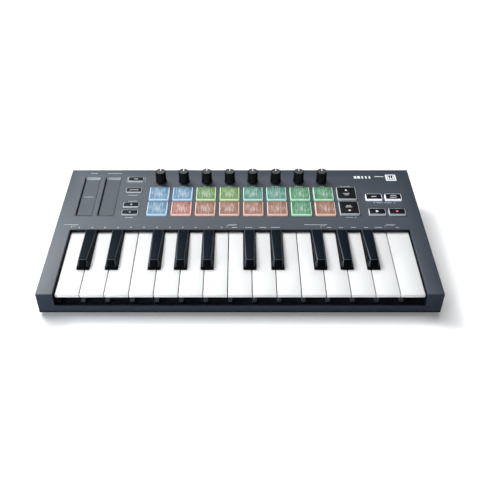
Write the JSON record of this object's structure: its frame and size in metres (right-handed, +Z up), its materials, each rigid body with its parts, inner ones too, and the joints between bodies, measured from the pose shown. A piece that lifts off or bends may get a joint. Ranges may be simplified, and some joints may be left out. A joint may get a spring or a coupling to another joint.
{
  "type": "midi keyboard",
  "caption": "Slim wedge-shaped MIDI keyboard controller with mini keys, lit drum pads, rotary knobs, touch strips and push buttons on a dark case.",
  "frame": {"origin": "under the middle of the case, on the plane that the rubber feet stand on", "axes": "+X from the lowest key to the highest along the case's long side, +Y to the rear, +Z up; the player sits at -Y"},
  "size_m": [0.33, 0.1714, 0.0488],
  "materials": {
    "case": "matt moulded plastic, dark blue-grey",
    "base": "matt moulded plastic, near black",
    "white_keys": "smooth semi-gloss plastic",
    "black_keys": "satin plastic",
    "buttons": "satin black caps over translucent light skirts",
    "knobs": "satin black with a white pointer",
    "pads": "translucent silicone lit from below",
    "touch_strips": "fine matt plastic",
    "chassis": "matt moulded plastic",
    "board": "solder-resist green",
    "contacts": "translucent silicone",
    "socket_metal": "plated steel",
    "socket_plastic": "moulded plastic",
    "feet": "soft rubber"
  },
  "bodies": {
    "case": {"top_case": "case", "bottom_case": "base", "key_chassis": "chassis", "key_board": "board", "key_contact_strip": "contacts", "control_board": "board", "main_board": "board", "pad_mat": "pads", "pitch_strip": "touch_strips", "modulation_strip": "touch_strips", "usb_socket": "socket_metal", "midi_socket": "socket_plastic", "sustain_socket": "socket_plastic", "front_left_foot": "feet", "front_right_foot": "feet", "rear_left_foot": "feet", "rear_right_foot": "feet"},
    "shift_button": {"shift_button": "buttons"},
    "transpose_button": {"transpose_button": "buttons"},
    "octave_up_button": {"octave_up_button": "buttons"},
    "octave_down_button": {"octave_down_button": "buttons"},
    "bank_up_button": {"bank_up_button": "buttons"},
    "bank_down_button": {"bank_down_button": "buttons"},
    "mode_left_button": {"mode_left_button": "buttons"},
    "mode_right_button": {"mode_right_button": "buttons"},
    "play_button": {"play_button": "buttons"},
    "record_button": {"record_button": "buttons"},
    "knob_1": {"knob_1": "knobs"},
    "knob_2": {"knob_2": "knobs"},
    "knob_3": {"knob_3": "knobs"},
    "knob_4": {"knob_4": "knobs"},
    "knob_5": {"knob_5": "knobs"},
    "knob_6": {"knob_6": "knobs"},
    "knob_7": {"knob_7": "knobs"},
    "knob_8": {"knob_8": "knobs"},
    "key_c_1": {"key_c_1": "white_keys"},
    "key_c_sharp_1": {"key_c_sharp_1": "black_keys"},
    "key_d_1": {"key_d_1": "white_keys"},
    "key_e_1": {"key_e_1": "white_keys"},
    "key_f_sharp_1": {"key_f_sharp_1": "black_keys"},
    "key_g_1": {"key_g_1": "white_keys"},
    "key_g_sharp_2": {"key_g_sharp_2": "black_keys"},
    "key_b_2": {"key_b_2": "white_keys"},
    "key_c_3": {"key_c_3": "white_keys"},
    "key_d_sharp_1": {"key_d_sharp_1": "black_keys"},
    "key_f_1": {"key_f_1": "white_keys"},
    "key_g_sharp_1": {"key_g_sharp_1": "black_keys"},
    "key_a_1": {"key_a_1": "white_keys"},
    "key_a_sharp_1": {"key_a_sharp_1": "black_keys"},
    "key_b_1": {"key_b_1": "white_keys"},
    "key_c_2": {"key_c_2": "white_keys"},
    "key_c_sharp_2": {"key_c_sharp_2": "black_keys"},
    "key_d_2": {"key_d_2": "white_keys"},
    "key_d_sharp_2": {"key_d_sharp_2": "black_keys"},
    "key_e_2": {"key_e_2": "white_keys"},
    "key_f_2": {"key_f_2": "white_keys"},
    "key_f_sharp_2": {"key_f_sharp_2": "black_keys"},
    "key_g_2": {"key_g_2": "white_keys"},
    "key_a_2": {"key_a_2": "white_keys"},
    "key_a_sharp_2": {"key_a_sharp_2": "black_keys"}
  },
  "joints": [
    {"name": "shift_button_press", "type": "slide", "parent": "case", "child": "shift_button", "axis": [0, 0.0872, -0.9962], "range_m": [0, 0.001], "stiffness_N_per_m": 300, "springref_m": -0.002},
    {"name": "transpose_button_press", "type": "slide", "parent": "case", "child": "transpose_button", "axis": [0, 0.0872, -0.9962], "range_m": [0, 0.001], "stiffness_N_per_m": 300, "springref_m": -0.002},
    {"name": "octave_up_button_press", "type": "slide", "parent": "case", "child": "octave_up_button", "axis": [0, 0.0872, -0.9962], "range_m": [0, 0.001], "stiffness_N_per_m": 300, "springref_m": -0.002},
    {"name": "octave_down_button_press", "type": "slide", "parent": "case", "child": "octave_down_button", "axis": [0, 0.0872, -0.9962], "range_m": [0, 0.001], "stiffness_N_per_m": 300, "springref_m": -0.002},
    {"name": "bank_up_button_press", "type": "slide", "parent": "case", "child": "bank_up_button", "axis": [0, 0.0872, -0.9962], "range_m": [0, 0.001], "stiffness_N_per_m": 300, "springref_m": -0.002},
    {"name": "bank_down_button_press", "type": "slide", "parent": "case", "child": "bank_down_button", "axis": [0, 0.0872, -0.9962], "range_m": [0, 0.001], "stiffness_N_per_m": 300, "springref_m": -0.002},
    {"name": "mode_left_button_press", "type": "slide", "parent": "case", "child": "mode_left_button", "axis": [0, 0.0872, -0.9962], "range_m": [0, 0.001], "stiffness_N_per_m": 300, "springref_m": -0.002},
    {"name": "mode_right_button_press", "type": "slide", "parent": "case", "child": "mode_right_button", "axis": [0, 0.0872, -0.9962], "range_m": [0, 0.001], "stiffness_N_per_m": 300, "springref_m": -0.002},
    {"name": "play_button_press", "type": "slide", "parent": "case", "child": "play_button", "axis": [0, 0.0872, -0.9962], "range_m": [0, 0.001], "stiffness_N_per_m": 300, "springref_m": -0.002},
    {"name": "record_button_press", "type": "slide", "parent": "case", "child": "record_button", "axis": [0, 0.0872, -0.9962], "range_m": [0, 0.001], "stiffness_N_per_m": 300, "springref_m": -0.002},
    {"name": "knob_1_turn", "type": "hinge", "parent": "case", "child": "knob_1", "pos_m": [-0.0762, 0.06724, 0.03668], "axis": [0, -0.0872, 0.9962], "range_deg": [-150, 150]},
    {"name": "knob_2_turn", "type": "hinge", "parent": "case", "child": "knob_2", "pos_m": [-0.0541, 0.06724, 0.03668], "axis": [0, -0.0872, 0.9962], "range_deg": [-150, 150]},
    {"name": "knob_3_turn", "type": "hinge", "parent": "case", "child": "knob_3", "pos_m": [-0.032, 0.06724, 0.03668], "axis": [0, -0.0872, 0.9962], "range_deg": [-150, 150]},
    {"name": "knob_4_turn", "type": "hinge", "parent": "case", "child": "knob_4", "pos_m": [-0.0099, 0.06724, 0.03668], "axis": [0, -0.0872, 0.9962], "range_deg": [-150, 150]},
    {"name": "knob_5_turn", "type": "hinge", "parent": "case", "child": "knob_5", "pos_m": [0.0122, 0.06724, 0.03668], "axis": [0, -0.0872, 0.9962], "range_deg": [-150, 150]},
    {"name": "knob_6_turn", "type": "hinge", "parent": "case", "child": "knob_6", "pos_m": [0.0343, 0.06724, 0.03668], "axis": [0, -0.0872, 0.9962], "range_deg": [-150, 150]},
    {"name": "knob_7_turn", "type": "hinge", "parent": "case", "child": "knob_7", "pos_m": [0.0564, 0.06724, 0.03668], "axis": [0, -0.0872, 0.9962], "range_deg": [-150, 150]},
    {"name": "knob_8_turn", "type": "hinge", "parent": "case", "child": "knob_8", "pos_m": [0.0785, 0.06724, 0.03668], "axis": [0, -0.0872, 0.9962], "range_deg": [-150, 150]},
    {"name": "key_c_1_press", "type": "hinge", "parent": "case", "child": "key_c_1", "pos_m": [-0.1407, 0.0088, 0.02203], "axis": [1, 0, 0], "range_deg": [0, 2.5], "stiffness_Nm_per_rad": 0.5, "springref_deg": -5.73},
    {"name": "key_c_sharp_1_press", "type": "hinge", "parent": "case", "child": "key_c_sharp_1", "pos_m": [-0.13235, 0.0088, 0.02203], "axis": [1, 0, 0], "range_deg": [0, 2.5], "stiffness_Nm_per_rad": 0.5, "springref_deg": -5.73},
    {"name": "key_d_1_press", "type": "hinge", "parent": "case", "child": "key_d_1", "pos_m": [-0.1206, 0.0088, 0.02203], "axis": [1, 0, 0], "range_deg": [0, 2.5], "stiffness_Nm_per_rad": 0.5, "springref_deg": -5.73},
    {"name": "key_e_1_press", "type": "hinge", "parent": "case", "child": "key_e_1", "pos_m": [-0.1005, 0.0088, 0.02203], "axis": [1, 0, 0], "range_deg": [0, 2.5], "stiffness_Nm_per_rad": 0.5, "springref_deg": -5.73},
    {"name": "key_f_sharp_1_press", "type": "hinge", "parent": "case", "child": "key_f_sharp_1", "pos_m": [-0.07245, 0.0088, 0.02203], "axis": [1, 0, 0], "range_deg": [0, 2.5], "stiffness_Nm_per_rad": 0.5, "springref_deg": -5.73},
    {"name": "key_g_1_press", "type": "hinge", "parent": "case", "child": "key_g_1", "pos_m": [-0.0603, 0.0088, 0.02203], "axis": [1, 0, 0], "range_deg": [0, 2.5], "stiffness_Nm_per_rad": 0.5, "springref_deg": -5.73},
    {"name": "key_g_sharp_2_press", "type": "hinge", "parent": "case", "child": "key_g_sharp_2", "pos_m": [0.09045, 0.0088, 0.02203], "axis": [1, 0, 0], "range_deg": [0, 2.5], "stiffness_Nm_per_rad": 0.5, "springref_deg": -5.73},
    {"name": "key_b_2_press", "type": "hinge", "parent": "case", "child": "key_b_2", "pos_m": [0.1206, 0.0088, 0.02203], "axis": [1, 0, 0], "range_deg": [0, 2.5], "stiffness_Nm_per_rad": 0.5, "springref_deg": -5.73},
    {"name": "key_c_3_press", "type": "hinge", "parent": "case", "child": "key_c_3", "pos_m": [0.1407, 0.0088, 0.02203], "axis": [1, 0, 0], "range_deg": [0, 2.5], "stiffness_Nm_per_rad": 0.5, "springref_deg": -5.73},
    {"name": "key_d_sharp_1_press", "type": "hinge", "parent": "case", "child": "key_d_sharp_1", "pos_m": [-0.10855, 0.0088, 0.02203], "axis": [1, 0, 0], "range_deg": [0, 2.5], "stiffness_Nm_per_rad": 0.5, "springref_deg": -5.73},
    {"name": "key_f_1_press", "type": "hinge", "parent": "case", "child": "key_f_1", "pos_m": [-0.0804, 0.0088, 0.02203], "axis": [1, 0, 0], "range_deg": [0, 2.5], "stiffness_Nm_per_rad": 0.5, "springref_deg": -5.73},
    {"name": "key_g_sharp_1_press", "type": "hinge", "parent": "case", "child": "key_g_sharp_1", "pos_m": [-0.05025, 0.0088, 0.02203], "axis": [1, 0, 0], "range_deg": [0, 2.5], "stiffness_Nm_per_rad": 0.5, "springref_deg": -5.73},
    {"name": "key_a_1_press", "type": "hinge", "parent": "case", "child": "key_a_1", "pos_m": [-0.0402, 0.0088, 0.02203], "axis": [1, 0, 0], "range_deg": [0, 2.5], "stiffness_Nm_per_rad": 0.5, "springref_deg": -5.73},
    {"name": "key_a_sharp_1_press", "type": "hinge", "parent": "case", "child": "key_a_sharp_1", "pos_m": [-0.02775, 0.0088, 0.02203], "axis": [1, 0, 0], "range_deg": [0, 2.5], "stiffness_Nm_per_rad": 0.5, "springref_deg": -5.73},
    {"name": "key_b_1_press", "type": "hinge", "parent": "case", "child": "key_b_1", "pos_m": [-0.0201, 0.0088, 0.02203], "axis": [1, 0, 0], "range_deg": [0, 2.5], "stiffness_Nm_per_rad": 0.5, "springref_deg": -5.73},
    {"name": "key_c_2_press", "type": "hinge", "parent": "case", "child": "key_c_2", "pos_m": [0, 0.0088, 0.02203], "axis": [1, 0, 0], "range_deg": [0, 2.5], "stiffness_Nm_per_rad": 0.5, "springref_deg": -5.73},
    {"name": "key_c_sharp_2_press", "type": "hinge", "parent": "case", "child": "key_c_sharp_2", "pos_m": [0.00835, 0.0088, 0.02203], "axis": [1, 0, 0], "range_deg": [0, 2.5], "stiffness_Nm_per_rad": 0.5, "springref_deg": -5.73},
    {"name": "key_d_2_press", "type": "hinge", "parent": "case", "child": "key_d_2", "pos_m": [0.0201, 0.0088, 0.02203], "axis": [1, 0, 0], "range_deg": [0, 2.5], "stiffness_Nm_per_rad": 0.5, "springref_deg": -5.73},
    {"name": "key_d_sharp_2_press", "type": "hinge", "parent": "case", "child": "key_d_sharp_2", "pos_m": [0.03215, 0.0088, 0.02203], "axis": [1, 0, 0], "range_deg": [0, 2.5], "stiffness_Nm_per_rad": 0.5, "springref_deg": -5.73},
    {"name": "key_e_2_press", "type": "hinge", "parent": "case", "child": "key_e_2", "pos_m": [0.0402, 0.0088, 0.02203], "axis": [1, 0, 0], "range_deg": [0, 2.5], "stiffness_Nm_per_rad": 0.5, "springref_deg": -5.73},
    {"name": "key_f_2_press", "type": "hinge", "parent": "case", "child": "key_f_2", "pos_m": [0.0603, 0.0088, 0.02203], "axis": [1, 0, 0], "range_deg": [0, 2.5], "stiffness_Nm_per_rad": 0.5, "springref_deg": -5.73},
    {"name": "key_f_sharp_2_press", "type": "hinge", "parent": "case", "child": "key_f_sharp_2", "pos_m": [0.06825, 0.0088, 0.02203], "axis": [1, 0, 0], "range_deg": [0, 2.5], "stiffness_Nm_per_rad": 0.5, "springref_deg": -5.73},
    {"name": "key_g_2_press", "type": "hinge", "parent": "case", "child": "key_g_2", "pos_m": [0.0804, 0.0088, 0.02203], "axis": [1, 0, 0], "range_deg": [0, 2.5], "stiffness_Nm_per_rad": 0.5, "springref_deg": -5.73},
    {"name": "key_a_2_press", "type": "hinge", "parent": "case", "child": "key_a_2", "pos_m": [0.1005, 0.0088, 0.02203], "axis": [1, 0, 0], "range_deg": [0, 2.5], "stiffness_Nm_per_rad": 0.5, "springref_deg": -5.73},
    {"name": "key_a_sharp_2_press", "type": "hinge", "parent": "case", "child": "key_a_sharp_2", "pos_m": [0.11295, 0.0088, 0.02203], "axis": [1, 0, 0], "range_deg": [0, 2.5], "stiffness_Nm_per_rad": 0.5, "springref_deg": -5.73}
  ]
}
